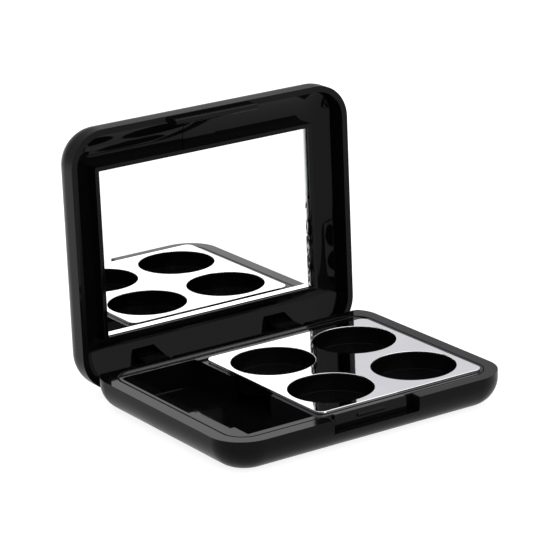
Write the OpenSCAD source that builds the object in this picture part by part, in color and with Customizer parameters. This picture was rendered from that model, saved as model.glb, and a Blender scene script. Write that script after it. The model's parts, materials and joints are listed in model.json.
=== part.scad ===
// Pocket palette compact: a hinged two-shell case with a mirror in the lid, a removable
// insert of four round paint wells and an empty compartment beside it.
// Frame: X runs along the hinge, Y from the thumb side to the hinge side, Z up.
// The origin is the centre of the closed case's outline, on the face it rests on.

/* [Case] */
// Width of the case, along the hinge
case_w = 104; // [96:0.5:120]
// Depth of the case, from the thumb side to the hinge side
case_d = 85.5; // [80:0.5:100]
// Radius of the case's corners, seen from above
corner_r = 12; // [10:0.5:16]
// Height of the base, up to the parting plane
base_h = 11; // [10.5:0.25:14]
// Height of the lid, from the parting plane to its outer face
lid_h = 14; // [13:0.25:18]
// Radius that rounds the base into its bottom face
base_edge_r = 9; // [6:0.5:9.5]
// Radius that rounds the lid into its outer face
lid_edge_r = 10; // [6:0.5:10]
// Width of the base shell's rim
base_rim = 4.3; // [3.6:0.1:5]
// Width of the lid shell's rim
lid_rim = 2; // [1.6:0.1:2.6]
// Thickness of the two shells' flat faces
face_t = 1.2; // [1:0.1:2]

/* [Hinge] */
// Angle between the base and the lid as the case stands open
open_angle = 90; // [0:5:100]
// Distance of the hinge axis from the back of the case
hinge_in = 3.8; // [3.7:0.1:4.2]
// Distance of the hinge axis below the parting plane
hinge_drop = 4.7; // [4.5:0.1:5]
// How far the round of the base's back edge is centred in front of the hinge axis
back_round_in = 1.5; // [0.6:0.1:2]
// Radius of the lid's two knuckles
knuckle_r = 3.1; // [2.8:0.1:3.2]
// Width of each knuckle and of the arm above it
arm_w = 8; // [6:0.5:10]
// Distance of each arm's middle from the middle of the case
arm_x = 25.4; // [20:0.5:28]
// Running gap beside and round each knuckle
arm_gap = 0.3; // [0.25:0.05:0.5]
// Diameter of the steel hinge pins
pin_d = 1.6; // [1.4:0.1:2]
// How far a pin runs on past its arm towards the middle of the case
pin_seat = 5; // [4:0.5:8]
// Running clearance of a pin in its arm, on the radius
pin_play = 0.05; // [0.03:0.01:0.08]

/* [Latch] */
// Width of the window in the base's front rim
latch_w = 31.5; // [26:0.5:36]
// Depth of that window below the parting plane
latch_h = 4.7; // [4.2:0.1:5.2]
// Side clearance of the lid's tongue in the window
tongue_side = 0.4; // [0.3:0.05:0.8]
// Thickness of the tongue
tongue_t = 1.8; // [1.4:0.1:2]
// How far the tongue's face lies behind the front of the case
tongue_in = 1; // [0.8:0.1:1.2]
// How far the tongue reaches past the parting plane
tongue_reach = 3.4; // [2.6:0.1:3.6]
// Width of the tray's catch block in the window
catch_w = 26.6; // [20:0.2:27]
// Length of the rounded catch bar on that block
nub_w = 10; // [6:0.5:14]
// Radius of the catch bar
nub_r = 0.7; // [0.5:0.05:0.9]
// Depth of the catch bar's middle below the parting plane
nub_drop = 1.9; // [1.5:0.1:2.4]
// How far the catch bar stands out of its block
nub_stand = 0.45; // [0.3:0.05:0.6]
// Clearance between the catch bar and the tongue
snap_play = 0.35; // [0.2:0.05:0.5]
// Width of the mark that the tongue's lifter leaves inside the lid
lifter_w = 12.3; // [8:0.1:16]
// How far that mark stands into the lid
lifter_t = 0.2; // [0.1:0.05:0.3]

/* [Tray] */
// Gap between the base's rim and the tray
seam = 0.15; // [0.1:0.05:0.3]
// Distance of the tray's back edge from the back of the case
tray_back = 7.6; // [7.6:0.1:9]
// Thickness of the tray's floor
tray_floor = 0.8; // [0.7:0.1:1.2]
// Distance of the compartment from the side of the case
comp_in = 5.7; // [5.6:0.1:7]
// Width of the compartment
comp_w = 27.8; // [24:0.1:28.4]
// Distance of the compartment from the front of the case
comp_front = 6.9; // [6.4:0.1:9]
// Distance of the compartment from the back of the case
comp_back = 11.2; // [10:0.1:13]
// Radius of the compartment's upright corners at its outer side
comp_r = 2.8; // [2.7:0.1:4]
// Radius where the compartment's walls meet its floor
comp_fillet = 0.5; // [0.3:0.1:2.4]
// How far the side pad stands into the compartment
pad_t = 1.8; // [1:0.1:2.4]
// Length of the side pad
pad_len = 19; // [10:0.5:24]
// How far the corner pad stands into the compartment
corner_pad_t = 4.2; // [3:0.1:5]
// Length of the corner pad
corner_pad_len = 7.4; // [5:0.1:9]
// Length of the finger gap in the divider
notch_len = 22; // [14:0.5:26]
// Height of the sill left under the finger gap
notch_sill = 0.6; // [0.3:0.1:6]
// Distance of the finger gap's middle behind the middle of the wells
notch_y = 3.6; // [0:0.1:6]

/* [Wells] */
// Diameter of each well
well_d = 27; // [25:0.25:27.5]
// Depth of each well below the plate's face
well_depth = 5.9; // [5:0.1:6.4]
// Distance between the wells' middles along the hinge
pitch_x = 31.4; // [30.5:0.1:31.8]
// Distance between the wells' middles from front to back
pitch_y = 32.1; // [31:0.1:32.4]
// Width of the plate round the wells
plate_w = 61.9; // [61:0.1:62.4]
// Depth of the plate round the wells, from front to back
plate_d = 64.1; // [63:0.1:64.6]
// Thickness of the metallised plate
plate_t = 0.4; // [0.3:0.05:0.6]
// Thickness of the moulded flange under the plate
flange_t = 0.6; // [0.5:0.05:0.9]
// Radius of the plate's corners
plate_r = 2.6; // [1:0.1:4]
// Wall thickness of the moulded cups
cup_t = 0.8; // [0.6:0.05:0.9]
// Distance of the insert's right edge from the side of the case
insert_in = 7.2; // [7.1:0.1:7.6]
// Distance of the insert's front edge from the front of the case
insert_front = 5.9; // [5.6:0.1:6.4]
// Clearance of the cups in the tray's opening
insert_play = 0.3; // [0.2:0.05:0.4]

/* [Mirror] */
// Width of the mirror glass
mirror_w = 79; // [70:0.5:80]
// Height of the mirror glass
mirror_h = 54.4; // [48:0.2:56]
// Thickness of the mirror glass
mirror_t = 1.2; // [1:0.1:1.5]
// Width of the frame's border at the mirror's sides and front edge
border = 1.5; // [1.2:0.1:2]
// Width of the frame's border at the hinge side
border_hinge = 5.6; // [4:0.1:7]
// Depth of the mirror frame's face inside the lid, from the parting plane
frame_in = 4.6; // [4.2:0.1:5.4]
// Depth of the recess round the mirror glass
recess = 1.3; // [0.8:0.1:1.6]
// Thickness of the mirror frame's walls
frame_t = 1.3; // [1:0.1:1.6]
// Distance of the mirror frame from the hinge side of the lid
frame_back = 10.4; // [9.6:0.1:12]
// Thickness of the adhesive pad behind the mirror
tape_t = 0.3; // [0.2:0.05:0.5]
// Gap between the mirror glass and its frame all round
mirror_gap = 0.15; // [0.1:0.05:0.3]

/* [Hidden] */
$fn = 64;
eps = 0.01;
far = 200;

hinge_y = case_d / 2 - hinge_in;
hinge_z = base_h - hinge_drop;
case_h = base_h + lid_h;
// The base's back wall stands clear of the lid's edge as the lid swings behind it.
back_step = 0.1;
base_back_y = hinge_y + knuckle_r - back_step;
back_round_y = hinge_y - back_round_in;

tray_w = case_w - 2 * (base_rim + seam);
tray_front_y = -case_d / 2 + base_rim + seam;
tray_back_y = case_d / 2 - tray_back - seam;
tray_d = tray_back_y - tray_front_y;
tray_y = (tray_back_y + tray_front_y) / 2;
tray_r = corner_r - base_rim - seam;
tray_edge_step = 3;
tray_edge_r = tray_r - tray_edge_step;
tray_bottom_z = face_t;
tray_floor_z = tray_bottom_z + tray_floor;

comp_left_x = -case_w / 2 + comp_in;
comp_right_x = comp_left_x + comp_w;
comp_front_y = -case_d / 2 + comp_front;
comp_back_y = case_d / 2 - comp_back;
comp_d = comp_back_y - comp_front_y;

plate_x = case_w / 2 - insert_in - plate_w / 2;
plate_y = -case_d / 2 + insert_front + plate_d / 2;
plate_top_z = base_h + flange_t + plate_t;
well_floor_z = plate_top_z - well_depth;
cup_r = well_d / 2 + cup_t;
cup_bottom_z = well_floor_z - cup_t;
bay_w = pitch_x + 2 * (cup_r + insert_play);
bay_d = pitch_y + 2 * (cup_r + insert_play);

block_w = mirror_w + 2 * (border + mirror_gap);
block_d = mirror_h + border + border_hinge + 2 * mirror_gap;
block_y = case_d / 2 - frame_back - block_d / 2;
block_z = base_h + frame_in;
lid_floor_z = case_h - face_t;
mirror_y = case_d / 2 - frame_back - border_hinge - mirror_gap - mirror_h / 2;
mirror_z = block_z + recess;
tape_z = mirror_z + mirror_t;
web_z = tape_z + tape_t;
block_r = 0.8;
// The lifter's mark ends this far in front of the mirror frame.
lifter_side = 0.4;

tongue_w = latch_w - 2 * tongue_side;
tongue_front_y = -case_d / 2 + tongue_in;
tongue_back_y = tongue_front_y + tongue_t;
nub_front_y = tongue_back_y + snap_play;
catch_front_y = nub_front_y + nub_stand;
// The catch block, the tongue and the arms run this far into what carries them.
root = 2;

// A pin runs from its seat beside the middle of the case out to the corner's outer face.
corner_dx = sqrt(pow(corner_r, 2) - pow(hinge_y - (case_d / 2 - corner_r), 2));
pin_end_in = 1.4;
pin_outer_x = case_w / 2 - corner_r + corner_dx - pin_end_in;
pin_inner_x = arm_x - arm_w / 2 - pin_seat;
pin_len = pin_outer_x - pin_inner_x;

// Section of a slab's edge: flat top at h, outer side at r, rounded underneath by e.
module edge_section(r, h, e) {
    intersection() {
        square([r, h]);
        union() {
            translate([0, e]) square([r, h]);
            square([r - e, h]);
            translate([r - e, e]) circle(e);
        }
    }
}

// Slab with round corners r and its lower edge rounded by e, standing on z = 0.
module pillow(w, d, h, r, e) {
    for (sx = [-1, 1], sy = [-1, 1])
        translate([sx * (w / 2 - r), sy * (d / 2 - r), 0]) rotate_extrude() edge_section(r, h, e);
    for (a = [0, 180]) rotate(a)
        translate([w / 2 - r, 0, 0]) rotate([90, 0, 0])
            linear_extrude(d - 2 * r, center = true) edge_section(r, h, e);
    for (a = [90, 270]) rotate(a)
        translate([d / 2 - r, 0, 0]) rotate([90, 0, 0])
            linear_extrude(w - 2 * r, center = true) edge_section(r, h, e);
    translate([r - w / 2, r - d / 2, 0]) cube([w - 2 * r, d - 2 * r, h]);
}

// Flat rectangle with round corners.
module round_rect(w, d, r) {
    for (sx = [-1, 1], sy = [-1, 1])
        translate([sx * (w / 2 - r), sy * (d / 2 - r)]) circle(r);
    square([w - 2 * r, d], center = true);
    square([w, d - 2 * r], center = true);
}

// Puts its children, drawn on the closed case, where the open lid holds them.
module opened() {
    translate([0, hinge_y, hinge_z]) rotate([-open_angle, 0, 0])
        translate([0, -hinge_y, -hinge_z]) children();
}

// Bar along X with a round section.
module x_bar(x0, x1, y, z, r) {
    translate([x0, y, z]) rotate([0, 90, 0]) cylinder(h = x1 - x0, r = r);
}

// Room that a swinging arm needs in the base's back rim.
module arm_slot(x) {
    under = 0.6;
    w = arm_w + 2 * arm_gap;
    r = knuckle_r + arm_gap;
    x_bar(x - w / 2, x + w / 2, hinge_y, hinge_z, r);
    translate([x - w / 2, hinge_y - r, hinge_z]) cube([w, r + far, far]);
    translate([x - w / 2, hinge_y, hinge_z - r - under]) cube([w, far, far]);
}

module base_shell() {
    color("#1b1b1e") difference() {
        intersection() {
            pillow(case_w, case_d, base_h, corner_r, base_edge_r);
            union() {
                translate([-far / 2, -far + base_back_y, 0]) cube([far, far, hinge_z]);
                translate([-far / 2, -far + back_round_y, 0]) cube([far, far, base_h]);
                intersection() {
                    x_bar(-far / 2, far / 2, back_round_y, hinge_z, hinge_drop);
                    translate([-far / 2, 0, 0]) cube([far, base_back_y, base_h]);
                }
            }
        }
        translate([0, tray_y, tray_bottom_z])
            pillow(tray_w + 2 * seam, tray_d + 2 * seam, base_h, tray_r + seam, tray_edge_r);
        translate([-latch_w / 2, -case_d / 2 - 1, base_h - latch_h])
            cube([latch_w, base_rim + 2, base_h]);
        for (s = [-1, 1]) {
            arm_slot(s * arm_x);
            hinge_bore(s, pin_d / 2);
        }
    }
}

// Bore for a pin in the base, open at the corner of the case.
module hinge_bore(s, r) {
    x_in = s * pin_inner_x;
    x_out = s * case_w / 2;
    x_bar(min(x_in, x_out), max(x_in, x_out), hinge_y, hinge_z, r);
}

// Space of the empty compartment, less the two pads at its outer wall.
module compartment() {
    difference() {
        intersection() {
            translate([comp_left_x + (comp_w + comp_r) / 2, comp_front_y + comp_d / 2, tray_floor_z])
                pillow(comp_w + comp_r, comp_d, base_h, comp_r, comp_fillet);
            // the divider's side has sharp corners
            translate([comp_left_x, comp_front_y, 0]) cube([comp_w, comp_d, far]);
        }
        translate([comp_left_x, comp_front_y, 0]) cube([corner_pad_t, corner_pad_len, base_h]);
        translate([comp_left_x, comp_front_y + corner_pad_len, 0]) cube([pad_t, pad_len, base_h]);
    }
}

module inner_tray() {
    color("#202023") difference() {
        union() {
            translate([0, tray_y, tray_bottom_z])
                pillow(tray_w, tray_d, base_h - tray_bottom_z, tray_r, tray_edge_r);
            // catch block that fills the window behind the lid's tongue
            translate([-catch_w / 2, catch_front_y, base_h - latch_h + seam])
                cube([catch_w, tray_front_y - catch_front_y + root, latch_h - seam]);
            // rounded catch bar
            x_bar(-nub_w / 2, nub_w / 2, nub_front_y + nub_r, base_h - nub_drop, nub_r);
        }
        compartment();
        // bay for the cups
        translate([plate_x, plate_y, tray_floor_z])
            linear_extrude(base_h) round_rect(bay_w, bay_d, cup_r);
        // finger gap through the divider
        translate([comp_right_x - root, plate_y + notch_y - notch_len / 2, tray_floor_z + notch_sill])
            cube([plate_x - bay_w / 2 - comp_right_x + 2 * root, notch_len, base_h]);
    }
}

module well_places() {
    for (sx = [-1, 1], sy = [-1, 1])
        translate([plate_x + sx * pitch_x / 2, plate_y + sy * pitch_y / 2, 0]) children();
}

module well_insert() {
    color("#17171a") difference() {
        union() {
            translate([plate_x, plate_y, base_h]) linear_extrude(flange_t)
                round_rect(plate_w, plate_d, plate_r);
            well_places() translate([0, 0, cup_bottom_z])
                cylinder(h = base_h + flange_t - cup_bottom_z, r = cup_r);
        }
        well_places() translate([0, 0, well_floor_z]) cylinder(h = base_h, d = well_d);
    }
}

module insert_plate() {
    color("#d8dadd") difference() {
        translate([plate_x, plate_y, base_h + flange_t]) linear_extrude(plate_t)
            round_rect(plate_w, plate_d, plate_r);
        well_places() translate([0, 0, base_h]) cylinder(h = base_h, d = well_d);
    }
}

// Arm from the lid's back wall down to its knuckle on the hinge axis.
module lid_arm(x) {
    root_z = base_h + frame_in + root;
    root_r = case_d / 2 - lid_rim - hinge_y + knuckle_r;
    x_bar(x - arm_w / 2, x + arm_w / 2, hinge_y, hinge_z, knuckle_r);
    translate([x - arm_w / 2, hinge_y - knuckle_r, hinge_z])
        cube([arm_w, 2 * knuckle_r, base_h - hinge_z + eps]);
    intersection() {
        union() {
            translate([x - arm_w / 2, hinge_y - knuckle_r, base_h])
                cube([arm_w, far, root_z - base_h]);
            x_bar(x - arm_w / 2, x + arm_w / 2, hinge_y - knuckle_r + root_r, root_z, root_r);
        }
        lid_outer();
    }
}

module lid_outer() {
    translate([0, 0, case_h]) mirror([0, 0, 1])
        pillow(case_w, case_d, lid_h, corner_r, lid_edge_r);
}

module lid_shell() {
    color("#1b1b1e") opened() difference() {
        union() {
            difference() {
                lid_outer();
                lid_cavity(0);
            }
            for (s = [-1, 1]) lid_arm(s * arm_x);
            lifter_mark();
            tongue();
        }
        for (s = [-1, 1])
            x_bar(s * arm_x - arm_w, s * arm_x + arm_w, hinge_y, hinge_z, pin_d / 2 + pin_play);
    }
}

// Space inside the lid, drawn in from its walls and floor by the given amount.
module lid_cavity(inset) {
    wall = lid_rim + inset;
    translate([0, 0, lid_floor_z - inset]) mirror([0, 0, 1])
        pillow(case_w - 2 * wall, case_d - 2 * wall, lid_h, corner_r - wall, lid_edge_r - wall);
}

// Flat patch behind the tongue, where the mould's lifter slid out.
module lifter_mark() {
    difference() {
        intersection() {
            lid_outer();
            translate([-lifter_w / 2, -case_d / 2, base_h])
                cube([lifter_w, case_d / 2 + block_y - block_d / 2 - lifter_side, far]);
        }
        lid_cavity(lifter_t);
    }
}

// Thumb tongue that hangs from the lid's front wall into the base's window.
module tongue() {
    translate([-tongue_w / 2, tongue_front_y, base_h - tongue_reach + tongue_t / 2])
        cube([tongue_w, tongue_t, tongue_reach + root]);
    x_bar(-tongue_w / 2, tongue_w / 2, tongue_front_y + tongue_t / 2,
        base_h - tongue_reach + tongue_t / 2, tongue_t / 2);
}

module mirror_frame() {
    color("#101013") opened() difference() {
        translate([0, block_y, block_z]) linear_extrude(lid_floor_z - block_z)
            round_rect(block_w, block_d, block_r);
        // recess for the mirror and its adhesive pad
        translate([0, mirror_y, block_z - 1]) linear_extrude(web_z - block_z + 1)
            square([mirror_w + 2 * mirror_gap, mirror_h + 2 * mirror_gap], center = true);
        // hollow behind the web
        translate([0, block_y, web_z + frame_t]) linear_extrude(lid_h)
            square([block_w - 2 * frame_t, block_d - 2 * frame_t], center = true);
    }
}

module mirror_glass() {
    color("#eef1f3") opened() translate([0, mirror_y, mirror_z])
        linear_extrude(mirror_t) square([mirror_w, mirror_h], center = true);
}

module mirror_tape() {
    margin = 3;
    color("#c9c9c4") opened() translate([0, mirror_y, tape_z])
        linear_extrude(tape_t) square([mirror_w - margin, mirror_h - margin], center = true);
}

module hinge_pin(s) {
    x0 = s < 0 ? -pin_outer_x : pin_inner_x;
    color("#b5b8bb") x_bar(x0, x0 + pin_len, hinge_y, hinge_z, pin_d / 2);
}

module hinge_pin_left() hinge_pin(-1);
module hinge_pin_right() hinge_pin(1);

base_shell();
inner_tray();
well_insert();
insert_plate();
lid_shell();
mirror_frame();
mirror_glass();
mirror_tape();
hinge_pin_left();
hinge_pin_right();
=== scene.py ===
"""Pocket palette compact, open at a right angle, on a white studio floor."""
import json
from math import asin, atan2, cos, hypot, pi, radians, sin

import bmesh
import bpy
from mathutils import Matrix, Vector

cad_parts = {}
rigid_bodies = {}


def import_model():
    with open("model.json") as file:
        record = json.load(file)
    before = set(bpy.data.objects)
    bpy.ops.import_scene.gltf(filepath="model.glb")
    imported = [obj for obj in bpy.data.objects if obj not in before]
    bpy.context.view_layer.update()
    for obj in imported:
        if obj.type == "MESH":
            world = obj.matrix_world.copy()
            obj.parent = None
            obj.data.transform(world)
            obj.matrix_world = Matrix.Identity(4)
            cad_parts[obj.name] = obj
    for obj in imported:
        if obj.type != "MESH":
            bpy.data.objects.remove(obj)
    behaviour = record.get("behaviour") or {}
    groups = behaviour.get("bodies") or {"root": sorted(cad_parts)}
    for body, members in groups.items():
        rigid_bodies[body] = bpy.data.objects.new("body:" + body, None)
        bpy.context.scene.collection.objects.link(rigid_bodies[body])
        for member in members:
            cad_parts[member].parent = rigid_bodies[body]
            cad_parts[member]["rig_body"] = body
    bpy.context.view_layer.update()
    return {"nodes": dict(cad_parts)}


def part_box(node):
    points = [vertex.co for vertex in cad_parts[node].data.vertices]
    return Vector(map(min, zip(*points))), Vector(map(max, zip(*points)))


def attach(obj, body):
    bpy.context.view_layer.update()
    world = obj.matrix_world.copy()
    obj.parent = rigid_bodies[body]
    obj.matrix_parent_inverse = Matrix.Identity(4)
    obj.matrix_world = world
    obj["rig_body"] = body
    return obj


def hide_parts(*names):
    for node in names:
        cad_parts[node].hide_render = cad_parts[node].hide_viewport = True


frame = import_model()
MM = 0.001
TOUCH = 0.01 * MM  # vertices that lie this close to a place are on it
NEAR = 0.1 * MM

# ---------------------------------------------------------------- camera
IMAGE_SIDE = 550
CAMERA_AZIMUTH = radians(-33.45)
CAMERA_ELEVATION = radians(17.27)
CAMERA_ROLL = radians(-2.21)
CAMERA_DISTANCE = 0.893
FOCAL_PIXELS = 2843
CAMERA_AIM = Vector((0.0087, 0.0111, 0.0455))
SHIFT_PIXELS = (22, -22)
SENSOR_WIDTH = 36  # millimetres
CLIP_RANGE = (0.01, 50)


def add_camera():
    """Camera at the photograph's viewing angle."""
    data = bpy.data.cameras.new("camera")
    data.sensor_width = SENSOR_WIDTH
    data.lens = FOCAL_PIXELS * SENSOR_WIDTH / IMAGE_SIDE
    data.shift_x = -SHIFT_PIXELS[0] / IMAGE_SIDE
    data.shift_y = SHIFT_PIXELS[1] / IMAGE_SIDE
    data.clip_start, data.clip_end = CLIP_RANGE
    flat = cos(CAMERA_ELEVATION)
    back = Vector((sin(CAMERA_AZIMUTH) * flat, -cos(CAMERA_AZIMUTH) * flat, sin(CAMERA_ELEVATION)))
    right = Vector((cos(CAMERA_AZIMUTH), sin(CAMERA_AZIMUTH), 0))
    up = back.cross(right)
    rolled_right = right * cos(CAMERA_ROLL) + up * sin(CAMERA_ROLL)
    rolled_up = up * cos(CAMERA_ROLL) - right * sin(CAMERA_ROLL)
    turn = Matrix((rolled_right, rolled_up, back)).transposed()
    camera = bpy.data.objects.new("camera", data)
    bpy.context.scene.collection.objects.link(camera)
    camera.matrix_world = Matrix.Translation(CAMERA_AIM + back * CAMERA_DISTANCE) @ turn.to_4x4()
    bpy.context.scene.camera = camera
    return camera


# ---------------------------------------------------------------- node helpers
NOISE_LOW, NOISE_HIGH = 0.3, 0.7  # most of a noise texture lies between these


def new_material(name):
    """Material with a bare Principled shader; returns the material, its node tree and the shader."""
    material = bpy.data.materials.new(name)
    material.use_nodes = True
    tree = material.node_tree
    return material, tree, tree.nodes["Principled BSDF"]


def add_node(tree, kind, **inputs):
    """Node of the given kind with some of its input sockets set."""
    node = tree.nodes.new(kind)
    for name, value in inputs.items():
        node.inputs[name.replace("_", " ")].default_value = value
    return node


def noise(tree, scale, detail=3.0, roughness=0.5, stretch=(1, 1, 1)):
    """Noise in object coordinates; scale counts features per metre."""
    where = tree.nodes.new("ShaderNodeTexCoord")
    mapping = add_node(tree, "ShaderNodeMapping", Scale=stretch)
    texture = add_node(tree, "ShaderNodeTexNoise", Scale=scale, Detail=detail, Roughness=roughness)
    tree.links.new(where.outputs["Object"], mapping.inputs["Vector"])
    tree.links.new(mapping.outputs["Vector"], texture.inputs["Vector"])
    return texture.outputs["Fac"]


def ramp(tree, factor, low, high, start=NOISE_LOW, end=NOISE_HIGH):
    """Maps a factor to the range between two numbers."""
    node = add_node(tree, "ShaderNodeMapRange", From_Min=start, From_Max=end, To_Min=low, To_Max=high)
    tree.links.new(factor, node.inputs["Value"])
    return node.outputs["Result"]


def tint(tree, factor, dark, light):
    """Colour that runs from dark to light with a factor."""
    node = tree.nodes.new("ShaderNodeValToRGB")
    first, last = node.color_ramp.elements
    first.position, last.position = NOISE_LOW, NOISE_HIGH
    first.color, last.color = (*dark, 1), (*light, 1)
    tree.links.new(factor, node.inputs["Fac"])
    return node.outputs["Color"]


def bump(tree, shader, *layers):
    """Adds bump layers, each a height factor with its depth in metres."""
    normal = None
    for height, depth in layers:
        node = add_node(tree, "ShaderNodeBump", Strength=1.0, Distance=depth)
        tree.links.new(height, node.inputs["Height"])
        if normal is not None:
            tree.links.new(normal, node.inputs["Normal"])
        normal = node.outputs["Normal"]
    tree.links.new(normal, shader.inputs["Normal"])


# ---------------------------------------------------------------- materials
# Noise scales count features per metre.
CLOUD_SCALE = 55
GRAIN_SCALE = 5200
FLOW_SCALE = 140
FLOW_STRETCH = (1, 0.35, 1)
FLOW_DEPTH = 0.02 * MM


def moulded_plastic(name, dark, light, gloss, spread, grain, specular):
    """Plastic or foam: roughness around gloss, a fine grain and slow flow waves."""
    material, tree, shader = new_material(name)
    cloud = noise(tree, CLOUD_SCALE, detail=4)
    fine = noise(tree, GRAIN_SCALE, detail=2)
    flow = noise(tree, FLOW_SCALE, detail=1, stretch=FLOW_STRETCH)
    tree.links.new(tint(tree, cloud, dark, light), shader.inputs["Base Color"])
    tree.links.new(ramp(tree, cloud, gloss - spread, gloss + spread), shader.inputs["Roughness"])
    shader.inputs["Specular IOR Level"].default_value = specular
    bump(tree, shader, (flow, FLOW_DEPTH), (fine, grain))
    return material


METAL_CLOUD_SCALE = 90
PEEL_SCALE = 420
METAL_SHADE = 0.94  # the darker patches of a metal, as a share of its colour
GLOSS_SPREAD = 0.4


def chrome(name, colour, gloss, orange_peel):
    """Vacuum-metallised plastic with a faint orange peel."""
    material, tree, shader = new_material(name)
    cloud = noise(tree, METAL_CLOUD_SCALE, detail=3)
    peel = noise(tree, PEEL_SCALE, detail=1)
    dark = tuple(METAL_SHADE * c for c in colour)
    tree.links.new(tint(tree, cloud, dark, colour), shader.inputs["Base Color"])
    roughness = ramp(tree, cloud, gloss * (1 - GLOSS_SPREAD), gloss * (1 + GLOSS_SPREAD))
    tree.links.new(roughness, shader.inputs["Roughness"])
    shader.inputs["Metallic"].default_value = 1.0
    bump(tree, shader, (peel, orange_peel))
    return material


SCRATCH_SCALE = 1500
SCRATCH_STRETCH = (1, 1, 0.02)
SCRATCH_DEPTH = 0.01 * MM
SCRATCH_ROUGHNESS = (0.25, 0.45)
# Painted shade on the mirror's cut edge: ragged dark patches, more of them towards the bottom.
EDGE_SHADE_SCALE = 1900
EDGE_SHADE_STRETCH = (1, 1, 0.22)
SHADED_BELOW = 46 * MM
UNSHADED_ABOVE = 54 * MM
EDGE_SHADE_LIMITS = (0.47, 0.2)  # noise under this is dark, at the bottom and at the top
EDGE_SHADE_TONES = (0.2, 0.9)
EDGE_SHADE_STEP = 0.14  # width of the step from dark to silver, in noise


def cut_edge(name, dark, light):
    """Silvered edge with upright scratches and painted shade in ragged dark patches, which grows
    towards the bottom.
    """
    material, tree, shader = new_material(name)
    scratches = noise(tree, SCRATCH_SCALE, detail=2, stretch=SCRATCH_STRETCH)
    shade_patches = noise(tree, EDGE_SHADE_SCALE, detail=4, stretch=EDGE_SHADE_STRETCH)
    where = tree.nodes.new("ShaderNodeTexCoord")
    split = tree.nodes.new("ShaderNodeSeparateXYZ")
    tree.links.new(where.outputs["Object"], split.inputs["Vector"])
    limit = ramp(tree, split.outputs["Z"], *EDGE_SHADE_LIMITS, SHADED_BELOW, UNSHADED_ABOVE)
    keep = add_node(tree, "ShaderNodeMapRange", From_Max=1.0, To_Min=0.0, To_Max=1.0)
    tree.links.new(limit, keep.inputs["From Min"])
    tree.links.new(shade_patches, keep.inputs["Value"])
    tone = ramp(tree, keep.outputs["Result"], *EDGE_SHADE_TONES, 0.0, EDGE_SHADE_STEP)
    tree.links.new(tint(tree, tone, dark, light), shader.inputs["Base Color"])
    tree.links.new(ramp(tree, scratches, *SCRATCH_ROUGHNESS), shader.inputs["Roughness"])
    shader.inputs["Metallic"].default_value = 1.0
    bump(tree, shader, (scratches, SCRATCH_DEPTH))
    return material


# Specular level of the black plastics: they reflect little head-on and strongly at a low angle.
BLACK_GLOSS = 0.095
SATIN_GLOSS = 0.07
satin = moulded_plastic("shell_satin", (0.0012, 0.0012, 0.0014), (0.0022, 0.0022, 0.0025),
                        gloss=0.30, spread=0.04, grain=0.0022 * MM, specular=SATIN_GLOSS)
polished = moulded_plastic("shell_polished", (0.0015, 0.0015, 0.0018), (0.0023, 0.0023, 0.0027),
                           gloss=0.05, spread=0.015, grain=0.0002 * MM, specular=BLACK_GLOSS)
tray_black = moulded_plastic("tray_black", (0.0014, 0.0015, 0.0016), (0.0022, 0.0023, 0.0025),
                             gloss=0.05, spread=0.015, grain=0.0002 * MM, specular=BLACK_GLOSS)
insert_black = moulded_plastic("insert_black", (0.0015, 0.0015, 0.0017), (0.0023, 0.0023, 0.0026),
                               gloss=0.12, spread=0.03, grain=0.0004 * MM, specular=BLACK_GLOSS)
frame_black = moulded_plastic("frame_black", (0.0012, 0.0012, 0.0013), (0.0018, 0.0018, 0.0020),
                              gloss=0.07, spread=0.02, grain=0.0002 * MM, specular=BLACK_GLOSS)
plate_chrome = chrome("plate_chrome", (0.90, 0.91, 0.92), gloss=0.035, orange_peel=0.0015 * MM)
mirror_silver = chrome("mirror_silver", (0.95, 0.955, 0.955), gloss=0.006, orange_peel=0.0)
# The edge's dark colour is painted shade on its lower part.
mirror_edge = cut_edge("mirror_edge", dark=(0.05, 0.055, 0.06), light=(0.93, 0.96, 0.95))
pin_steel = chrome("pin_steel", (0.62, 0.62, 0.61), gloss=0.22, orange_peel=0.001 * MM)
tape_foam = moulded_plastic("tape_foam", (0.55, 0.55, 0.52), (0.68, 0.68, 0.64),
                            gloss=0.8, spread=0.1, grain=0.03 * MM, specular=0.3)


# ---------------------------------------------------------------- meshes from the frame
SHARP_ANGLE = radians(28)
FLAT_ANGLE = radians(0.5)
WELD = 0.002 * MM
SOFT_SEGMENTS = 4


def rounded(bm, width, segments, chosen=None):
    """Rounds the sharp edges, or the chosen ones, by the given width."""
    sharp = [e for e in bm.edges if len(e.link_faces) == 2 and e.calc_face_angle() > SHARP_ANGLE]
    if chosen is not None:
        sharp = [e for e in sharp if chosen(e)]
    bmesh.ops.bevel(bm, geom=sharp, offset=width, offset_type="OFFSET", segments=segments,
                    profile=0.5, affect="EDGES", clamp_overlap=True, loop_slide=True)


def dressed(node, name, materials, width, segments=3, pick=None, first=None, soft=None, soft_width=0):
    """Copy of a CAD node with rounded edges, the soft ones more so, which stands for it."""
    source = frame["nodes"][node]
    mesh = bpy.data.meshes.new(name)
    bm = bmesh.new()
    bm.from_mesh(source.data)
    bmesh.ops.remove_doubles(bm, verts=bm.verts, dist=WELD)
    bmesh.ops.dissolve_limit(bm, angle_limit=FLAT_ANGLE, verts=bm.verts, edges=bm.edges)
    if first is not None:
        first(bm)
    if soft is not None:
        rounded(bm, soft_width, SOFT_SEGMENTS, chosen=soft)
    rounded(bm, width, segments)
    for face in bm.faces:
        face.smooth = True
        if pick is not None:
            face.material_index = pick(face.calc_center_median(), face.normal)
    bm.to_mesh(mesh)
    bm.free()
    for material in materials:
        mesh.materials.append(material)
    piece = bpy.data.objects.new(name, mesh)
    bpy.context.scene.collection.objects.link(piece)
    weighted = piece.modifiers.new("even_normals", "WEIGHTED_NORMAL")
    weighted.keep_sharp = True
    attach(piece, source["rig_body"])
    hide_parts(node)
    return piece


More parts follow.
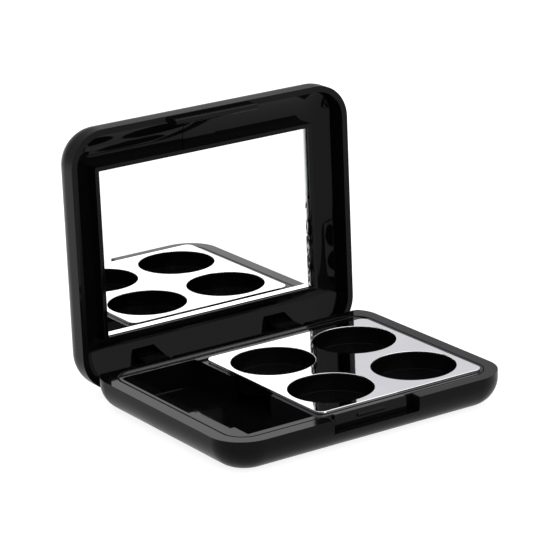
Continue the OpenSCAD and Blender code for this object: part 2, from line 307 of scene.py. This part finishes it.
# ---------------------------------------------------------------- shells
OUTSIDE, INSIDE = 0, 1
RIM_SKIN = 0.3 * MM
RIM_DEPTH = 0.05 * MM
BASE_INSIDE_Z = 1 * MM
FACES_DOWN = -0.1  # a face whose normal has less along z faces down
FACES_BACK = 0.05  # a face whose normal has more along y faces back
LID_FRONT = 3.42 * MM  # from the tongue's tip back to just behind the lid's rim
LID_RIM_SKIN = 1.6 * MM
SHELL_ROUND = 0.15 * MM
base_low, base_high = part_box("base_shell")
lid_low, lid_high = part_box("lid_shell")
CORNER = 12 * MM


def depth_inside(x, y, low, high, corner=CORNER):
    """Distance of a point from the outline of a rectangle with rounded corners, inwards."""
    dx = min(x - low[0], high[0] - x)
    dy = min(y - low[1], high[1] - y)
    if dx < corner and dy < corner:
        return corner - hypot(corner - dx, corner - dy)
    return min(dx, dy)


# The lid's inside: its wall, the fillet that the solid has, and the hollow band that the skin has.
LID_WALL = 2 * MM
FILLET_RADIUS = 8 * MM
FILLET_Y = 48.45 * MM
BAND_RADIUS = 20 * MM
BAND_WIDTH_SIDE = 8.85 * MM
BAND_WIDTH_TOP = 11.3 * MM
BAND_WIDTH_HINGE = 12.5 * MM
BAND_CORNER = 0.8 * MM
BAND_FOOT_Y = 52.6 * MM
SKIN_REACH = 0.5 * MM


def inward(x, y, low, high, corner=CORNER):
    """Direction in which depth_inside grows fastest."""
    dx = min(x - low[0], high[0] - x)
    dy = min(y - low[1], high[1] - y)
    to_right = 1 if x - low[0] < high[0] - x else -1
    to_top = 1 if y - low[1] < high[1] - y else -1
    if dx < corner and dy < corner:
        return Vector((to_right * (corner - dx), to_top * (corner - dy))).normalized()
    return Vector((to_right, 0)) if dx < dy else Vector((0, to_top))


def band_ends(x, z, low, high, inwards):
    """Ends of the band's section through a place on the fillet, measured from the nearest corner."""
    near = Vector((min(x - low[0], high[0] - x), min(z - low[1], high[1] - z)))
    share = Vector((abs(inwards.x), abs(inwards.y)))
    width = Vector((BAND_WIDTH_SIDE, BAND_WIDTH_HINGE if inwards.y > 0 else BAND_WIDTH_TOP))
    if max(near) < CORNER + TOUCH:
        inset = LID_WALL + BAND_CORNER
        wall = Vector((CORNER, CORNER)) - share * (CORNER - LID_WALL)
        return wall, Vector((inset, inset)) + width - share * BAND_CORNER
    wall = near + share * (LID_WALL - near.dot(share))
    return wall, wall + share * width.dot(share)


def hollow_band(bm):
    """Draws the lid's deep fillet forward to a gently hollow band that meets the wall in a crease."""
    low, high = (lid_low.x, lid_low.z), (lid_high.x, lid_high.z)
    centre = LID_WALL + FILLET_RADIUS
    for vert in bm.verts:
        x, y, z = vert.co
        if y < FILLET_Y - TOUCH:
            continue
        inner = depth_inside(x, z, low, high)
        if inner >= centre + TOUCH:
            if abs(y - FILLET_Y - FILLET_RADIUS) < SKIN_REACH:
                vert.co.y += BAND_FOOT_Y - FILLET_Y - FILLET_RADIUS
            continue
        wall, foot = band_ends(x, z, low, high, inward(x, z, low, high))
        share = atan2(y - FILLET_Y, centre - inner) / (pi / 2)
        lift = FILLET_RADIUS - hypot(y - FILLET_Y, centre - inner)
        if not -SKIN_REACH / 2 < lift < SKIN_REACH:
            continue
        slope = asin((foot - wall).length * (1 - share) / BAND_RADIUS)
        place = wall.lerp(foot, share) + (foot - wall).normalized() * lift * sin(slope)
        vert.co.x = low[0] + place.x if x - low[0] < high[0] - x else high[0] - place.x
        vert.co.z = low[1] + place.y if z - low[1] < high[1] - z else high[1] - place.y
        vert.co.y = BAND_FOOT_Y - BAND_RADIUS * (1 - cos(slope)) - lift * cos(slope)


def base_finish(centre, normal):
    """The rim and all inside it is polished, and the rest is satin."""
    if centre.z > base_high.z - RIM_DEPTH:
        return INSIDE
    within = depth_inside(centre.x, centre.y, base_low, base_high) > RIM_SKIN
    if within and centre.z > BASE_INSIDE_Z and normal.z > FACES_DOWN:
        return INSIDE
    return OUTSIDE


def lid_finish(centre, normal):
    """The lid's inside, its rim, its arms and its tongue are polished."""
    if centre.y < lid_low.y + LID_FRONT:
        return INSIDE
    inner = depth_inside(centre.x, centre.z, (lid_low.x, lid_low.z), (lid_high.x, lid_high.z))
    if inner > LID_RIM_SKIN and normal.y < FACES_BACK:
        return INSIDE
    return OUTSIDE


dressed("lid_shell", "lid_shell_skin", [satin, polished], SHELL_ROUND,
        pick=lid_finish, first=hollow_band)

# ---------------------------------------------------------------- base and tray
RIM_Z = 11 * MM
TRAY_BACK_CUT = 29.3 * MM
BACK_GROOVE_Y = 33.2 * MM
GROOVE_HALF = 0.3 * MM
GROOVE_DEPTH = 0.3 * MM
TRAY_BACK_SLOPE = 0.09
LEFT_BACK_CUT = 31 * MM  # just in front of the compartment's back edge
DIVIDER_RIGHT_X = -17 * MM
SEAM_ROUND = 0.32 * MM
SEAM_DEPTH = 1 * MM  # edges that lie lower than this under the rim aren't the seam
SEAM_RISE = 0.8 * MM  # and neither are those that rise more than this
BASE_RIM_INSET = (2 * MM, 8 * MM)  # the base's inner edge lies this far inside its outline
BASE_RIM_BACK_Y = 36 * MM
RIM_FLAT = 0.02 * MM
TRAY_CORNER = 7.55 * MM
TRAY_FRONT_Y = -38.3 * MM
tray_low, tray_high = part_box("inner_tray")


def cut_across(bm, place, normal):
    """Cuts the mesh along a plane and keeps the cut as a sharp edge."""
    geometry = bm.verts[:] + bm.edges[:] + bm.faces[:]
    cut = bmesh.ops.bisect_plane(bm, geom=geometry, plane_co=place, plane_no=normal)["geom_cut"]
    for item in cut:
        if isinstance(item, bmesh.types.BMEdge):
            item.smooth = False


def sloping_back(bm):
    """Lets the tray's top fall from its back edge towards the plate, with a fine groove along it."""
    for y in (TRAY_BACK_CUT, BACK_GROOVE_Y - GROOVE_HALF, BACK_GROOVE_Y, BACK_GROOVE_Y + GROOVE_HALF):
        cut_across(bm, (0, y, 0), (0, 1, 0))
    for vert in bm.verts:
        start = TRAY_BACK_CUT if vert.co.x > DIVIDER_RIGHT_X else LEFT_BACK_CUT
        if abs(vert.co.z - RIM_Z) < RIM_FLAT and vert.co.y > start - TOUCH:
            vert.co.z -= TRAY_BACK_SLOPE * (tray_high.y - vert.co.y)
            if abs(vert.co.y - BACK_GROOVE_Y) < TOUCH:
                vert.co.z -= GROOVE_DEPTH


def tray_seam(edge):
    """Top edge of the tray along its outline."""
    a, b = (vert.co for vert in edge.verts)
    middle = (a + b) / 2
    high_up = min(a.z, b.z) > RIM_Z - SEAM_DEPTH and abs(a.z - b.z) < SEAM_RISE
    front_left = (tray_low.x, TRAY_FRONT_Y)
    return high_up and depth_inside(middle.x, middle.y, front_left, tray_high, TRAY_CORNER) < NEAR


def base_seam(edge):
    """Top edge of the base round the tray."""
    a, b = (vert.co for vert in edge.verts)
    middle = (a + b) / 2
    flat = min(a.z, b.z) > RIM_Z - RIM_FLAT
    inset = depth_inside(middle.x, middle.y, base_low, base_high)
    return flat and BASE_RIM_INSET[0] < inset < BASE_RIM_INSET[1] and middle.y < BASE_RIM_BACK_Y


dressed("base_shell", "base_shell_skin", [satin, polished], SHELL_ROUND, pick=base_finish,
        soft=base_seam, soft_width=SEAM_ROUND)
dressed("inner_tray", "inner_tray_skin", [tray_black], 0.18 * MM, first=sloping_back,
        soft=tray_seam, soft_width=SEAM_ROUND)

# ---------------------------------------------------------------- insert and plate
plate_low, plate_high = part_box("insert_plate")
PLATE_CORNER = 2.6 * MM
SKIRT_Z = 11.08 * MM
FLANGE_IN = 0.15 * MM
ON_OUTLINE = 0.02 * MM


def on_outline(vert):
    """Whether a vertex lies on the plate's outline."""
    return depth_inside(vert.co.x, vert.co.y, plate_low, plate_high, PLATE_CORNER) < ON_OUTLINE


def narrow_flange(bm):
    """Draws the insert's flange in, behind the plate's skirt."""
    for vert in bm.verts:
        if on_outline(vert):
            move = inward(vert.co.x, vert.co.y, plate_low, plate_high, PLATE_CORNER) * FLANGE_IN
            vert.co.x += move.x
            vert.co.y += move.y


def skirt(bm):
    """Folds the plate's outer edge down over the flange."""
    for vert in bm.verts:
        if on_outline(vert) and vert.co.z < plate_low.z + NEAR / 2:
            vert.co.z = SKIRT_Z


dressed("well_insert", "well_insert_skin", [insert_black], 0.12 * MM, first=narrow_flange)
dressed("insert_plate", "insert_plate_skin", [plate_chrome], 0.11 * MM, segments=4, first=skirt)

# ---------------------------------------------------------------- mirror
FRAME_FOOT_Z = 14.5 * MM
FRAME_FOOT_RISE = 4.1 * MM
RIGHT_BAND = 1.5 * MM
BOTTOM_BAND = 1.2 * MM
BOTTOM_BEND = 0.24 * MM
RIGHT_BEND = 0.12 * MM
FACES_FRONT = -0.5  # a face whose normal has less along y faces the front
SILVER, CUT = 0, 1
glass_low, glass_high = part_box("mirror_glass")


def narrow_foot(bm):
    """Gives the frame's lower bar the width of its other bars."""
    for vert in bm.verts:
        if vert.co.z < FRAME_FOOT_Z:
            vert.co.z += FRAME_FOOT_RISE


def edge_bands(bm):
    """Bends the glass forward along its bottom and back along its right edge."""
    for place, normal in (((glass_high.x - RIGHT_BAND, 0, 0), (1, 0, 0)),
                          ((0, 0, glass_low.z + BOTTOM_BAND), (0, 0, 1))):
        cut_across(bm, place, normal)
    for vert in bm.verts:
        if vert.co.y > glass_low.y + NEAR:
            continue
        if vert.co.z < glass_low.z + NEAR:
            vert.co.y -= BOTTOM_BEND
        if vert.co.x > glass_high.x - NEAR:
            vert.co.y += RIGHT_BEND


def edge_finish(centre, normal):
    """The right edge of the glass shows its saw cut."""
    return CUT if centre.x > glass_high.x - RIGHT_BAND and normal.y < FACES_FRONT else SILVER


dressed("mirror_frame", "mirror_frame_skin", [frame_black], 0.2 * MM, first=narrow_foot)
dressed("mirror_glass", "mirror_glass_skin", [mirror_silver, mirror_edge], 0.1 * MM,
        pick=edge_finish, first=edge_bands)
dressed("mirror_tape", "mirror_tape_skin", [tape_foam], 0.05 * MM)

# ---------------------------------------------------------------- hinge pins
for side in ("left", "right"):
    dressed("hinge_pin_" + side, "hinge_pin_" + side + "_skin", [pin_steel], 0.1 * MM)


# ---------------------------------------------------------------- studio
FLOOR_REACH = 4.0
FLOOR_DROP = 0.2 * MM
FLOOR_GREY = 0.35
FLOOR_GLOW = 0.85
WORLD_COLOUR = (0.98, 0.965, 1, 1)
WORLD_STRENGTH = 0.73


def add_floor():
    """White floor that the palette stands on."""
    mesh = bpy.data.meshes.new("floor")
    bm = bmesh.new()
    bmesh.ops.create_grid(bm, x_segments=8, y_segments=8, size=FLOOR_REACH)
    bm.to_mesh(mesh)
    bm.free()
    floor = bpy.data.objects.new("floor", mesh)
    floor.location.z = -FLOOR_DROP
    bpy.context.scene.collection.objects.link(floor)
    material, tree, shader = new_material("floor_white")
    shader.inputs["Base Color"].default_value = (FLOOR_GREY, FLOOR_GREY, FLOOR_GREY, 1)
    shader.inputs["Roughness"].default_value = 0.9
    shader.inputs["Specular IOR Level"].default_value = 0.0
    shader.inputs["Emission Color"].default_value = (1, 1, 1, 1)
    shader.inputs["Emission Strength"].default_value = FLOOR_GLOW
    mesh.materials.append(material)


def add_soft_box(name, place, aim, size, power):
    """Rectangular area light that faces a point."""
    data = bpy.data.lights.new(name, "AREA")
    data.shape = "RECTANGLE"
    data.size, data.size_y = size
    data.energy = power
    light = bpy.data.objects.new(name, data)
    light.location = place
    light.rotation_euler = (Vector(aim) - Vector(place)).to_track_quat("-Z", "Y").to_euler()
    bpy.context.scene.collection.objects.link(light)


def add_world():
    """Even surround, white with a faint lavender tint."""
    world = bpy.data.worlds.new("studio")
    world.use_nodes = True
    back = world.node_tree.nodes["Background"]
    back.inputs["Color"].default_value = WORLD_COLOUR
    back.inputs["Strength"].default_value = WORLD_STRENGTH
    bpy.context.scene.world = world


add_camera()
add_floor()
add_world()
# A light panel's power for a radiance of one is its area times pi.
for name, place, size, radiance in (
        ("overhead", (0.0, 0.0, 1.6), (3.0, 3.0), 0.9),
        ("front", (0.4, -2.2, 0.85), (4.0, 2.1), 1.0),
):
    add_soft_box(name, place, (0, 0, 0), size, radiance * pi * size[0] * size[1])
bpy.context.scene.view_settings.view_transform = "Standard"

bpy.context.view_layer.update()
